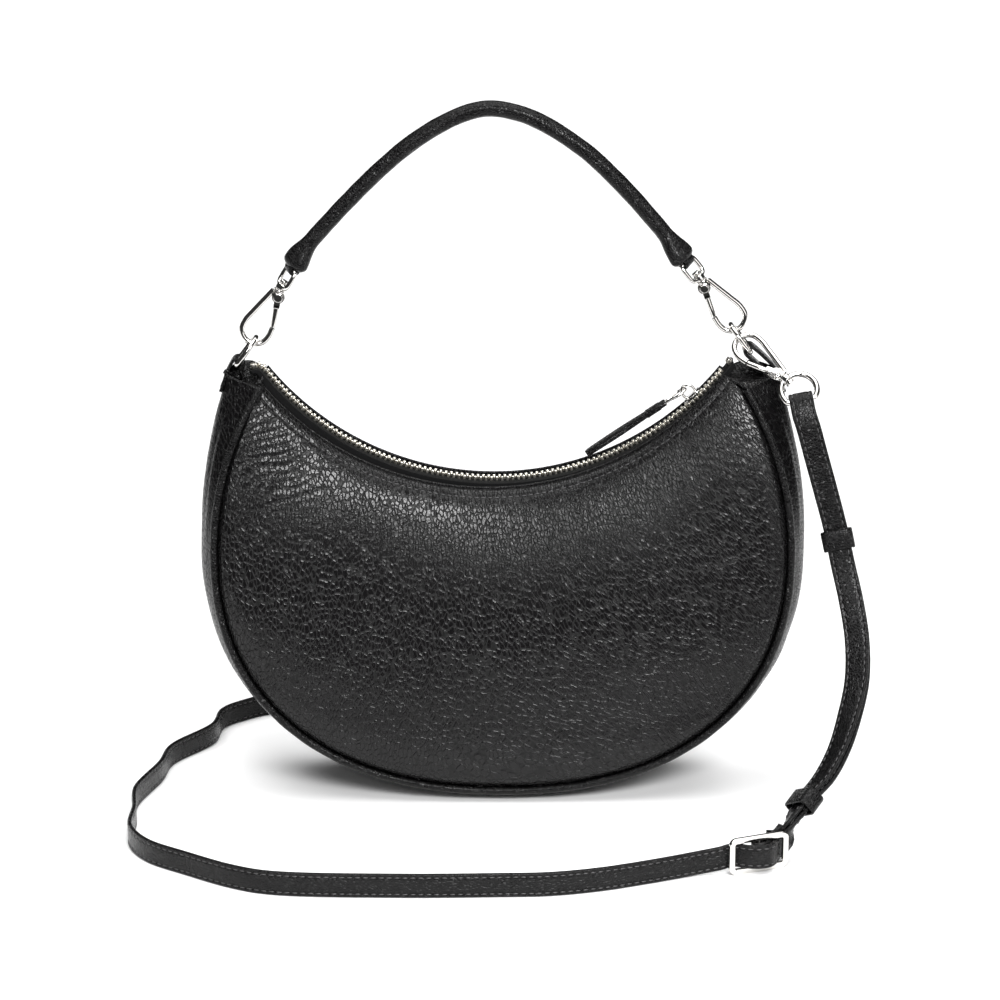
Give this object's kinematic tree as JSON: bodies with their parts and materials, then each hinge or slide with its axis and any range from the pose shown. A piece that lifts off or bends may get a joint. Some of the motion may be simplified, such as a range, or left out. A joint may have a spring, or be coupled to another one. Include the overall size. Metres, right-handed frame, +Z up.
{
  "type": "hobo bag",
  "caption": "Half-moon leather shoulder bag with a curved metal zip, a rolled top handle on swivel snap hooks and an adjustable flat shoulder strap with a centre-bar buckle.",
  "frame": {"origin": "on the ground below the middle of the bag, without its shoulder strap", "axes": "+Z up, +X along the bag to the right seen from the front, -Y towards the front"},
  "size_m": [0.3377, 0.3344, 0.3231],
  "materials": {
    "pebbled_leather": "soft pebbled grain",
    "smooth_leather": "smooth, slightly glossy, stitched tone on tone",
    "lining_fabric": "plain woven",
    "core_cord": "twisted cotton",
    "stiffener_board": "matt fibre board",
    "zip_tape_fabric": "herringbone tape",
    "zip_nickel": "bright, slightly warm",
    "polished_nickel": "polished"
  },
  "bodies": {
    "bag": {"front_panel": "pebbled_leather", "back_panel": "pebbled_leather", "gusset": "pebbled_leather", "piping_front": "smooth_leather", "piping_back": "smooth_leather", "lining": "lining_fabric", "slip_pocket": "lining_fabric", "base_stiffener": "stiffener_board", "zip_tape_front": "zip_tape_fabric", "zip_tape_back": "zip_tape_fabric", "zip_teeth_front": "zip_nickel", "zip_teeth_back": "zip_nickel", "zip_stop_left": "zip_nickel", "zip_stop_right": "zip_nickel", "ring_tab_left": "smooth_leather", "ring_tab_right": "smooth_leather", "strap_main": "smooth_leather", "strap_return": "smooth_leather", "buckle": "polished_nickel", "strap_hook_near_eye": "polished_nickel", "strap_hook_far_eye": "polished_nickel"},
    "slider": {"zip_slider": "zip_nickel"},
    "link": {"pull_link": "polished_nickel"},
    "puller": {"zip_puller": "smooth_leather"},
    "ring_left": {"d_ring_left": "polished_nickel"},
    "ring_right": {"d_ring_right": "polished_nickel"},
    "handle": {"handle_wrap": "smooth_leather", "handle_core": "core_cord", "handle_loop_left": "smooth_leather", "handle_loop_right": "smooth_leather", "handle_hook_left_eye": "polished_nickel", "handle_hook_right_eye": "polished_nickel"},
    "keeper_top": {"keeper_upper": "smooth_leather"},
    "keeper_bottom": {"keeper_lower": "smooth_leather"},
    "hook_left": {"handle_hook_left_body": "polished_nickel", "handle_hook_left_pin": "polished_nickel"},
    "gate_left": {"handle_hook_left_gate": "polished_nickel", "handle_hook_left_spring": "polished_nickel"},
    "hook_right": {"handle_hook_right_body": "polished_nickel", "handle_hook_right_pin": "polished_nickel"},
    "gate_right": {"handle_hook_right_gate": "polished_nickel", "handle_hook_right_spring": "polished_nickel"},
    "hook_near": {"strap_hook_near_body": "polished_nickel", "strap_hook_near_pin": "polished_nickel"},
    "gate_near": {"strap_hook_near_gate": "polished_nickel", "strap_hook_near_spring": "polished_nickel"},
    "hook_far": {"strap_hook_far_body": "polished_nickel", "strap_hook_far_pin": "polished_nickel"},
    "gate_far": {"strap_hook_far_gate": "polished_nickel", "strap_hook_far_spring": "polished_nickel"}
  },
  "joints": [
    {"name": "zip_slide", "type": "hinge", "parent": "bag", "child": "slider", "pos_m": [-0.004, 0, 0.281], "axis": [0, 1, 0], "range_deg": [0, 75]},
    {"name": "link_swing", "type": "hinge", "parent": "slider", "child": "link", "pos_m": [0.0843, 0, 0.1902], "axis": [0, 1, 0], "range_deg": [0, 100]},
    {"name": "puller_swing", "type": "hinge", "parent": "link", "child": "puller", "pos_m": [0.07352, 0, 0.18293], "axis": [0, 1, 0], "range_deg": [0, 40]},
    {"name": "ring_left_swing", "type": "hinge", "parent": "bag", "child": "ring_left", "pos_m": [-0.12187, 0, 0.20275], "axis": [0, 1, 0], "range_deg": [-8, 0]},
    {"name": "ring_right_swing", "type": "hinge", "parent": "bag", "child": "ring_right", "pos_m": [0.11337, 0, 0.20875], "axis": [0, 1, 0], "range_deg": [0, 6]},
    {"name": "handle_swing", "type": "hinge", "parent": "bag", "child": "handle", "pos_m": [-0.11314, 0, 0.21148], "axis": [0.9996, 0, 0.0275], "range_deg": [-60, 60]},
    {"name": "keeper_top_slide", "type": "slide", "parent": "bag", "child": "keeper_top", "axis": [0.2067, -0.2069, -0.9563], "range_m": [-0.003, 0.003]},
    {"name": "keeper_bottom_slide", "type": "slide", "parent": "bag", "child": "keeper_bottom", "axis": [-0.5742, -0.6136, -0.5421], "range_m": [-0.002, 0.001]},
    {"name": "hook_left_swivel", "type": "hinge", "parent": "handle", "child": "hook_left", "pos_m": [-0.11314, 0, 0.21798], "axis": [0.515, 0, 0.8572], "range_deg": [-6, 6]},
    {"name": "gate_left_open", "type": "hinge", "parent": "hook_left", "child": "gate_left", "pos_m": [-0.10258, 0, 0.23322], "axis": [0, 1, 0], "range_deg": [0, 25], "stiffness_Nm_per_rad": 0.02, "springref_deg": -20.05},
    {"name": "hook_right_swivel", "type": "hinge", "parent": "handle", "child": "hook_right", "pos_m": [0.10464, 0, 0.22398], "axis": [-0.6293, 0, 0.7771], "range_deg": [-6, 6]},
    {"name": "gate_right_open", "type": "hinge", "parent": "hook_right", "child": "gate_right", "pos_m": [0.09206, 0, 0.2376], "axis": [0, -1, 0], "range_deg": [0, 25], "stiffness_Nm_per_rad": 0.02, "springref_deg": -20.05},
    {"name": "hook_near_swivel", "type": "hinge", "parent": "bag", "child": "hook_near", "pos_m": [0.11237, -0.007, 0.2112], "axis": [0.6998, -0.4899, -0.5199], "range_deg": [-8, 8]},
    {"name": "gate_near_open", "type": "hinge", "parent": "hook_near", "child": "gate_near", "pos_m": [0.12447, -0.01649, 0.20085], "axis": [0.1121, 0.7941, -0.5973], "range_deg": [0, 25], "stiffness_Nm_per_rad": 0.02, "springref_deg": -20.05},
    {"name": "hook_far_swivel", "type": "hinge", "parent": "bag", "child": "hook_far", "pos_m": [0.078, 0.112, 0.0022], "axis": [-0.9817, 0.1703, 0.0851], "range_deg": [-5, 5]},
    {"name": "gate_far_open", "type": "hinge", "parent": "hook_far", "child": "gate_far", "pos_m": [0.05963, 0.11397, 0.00377], "axis": [0.0839, -0.0146, 0.9964], "range_deg": [0, 25], "stiffness_Nm_per_rad": 0.02, "springref_deg": -20.05}
  ]
}
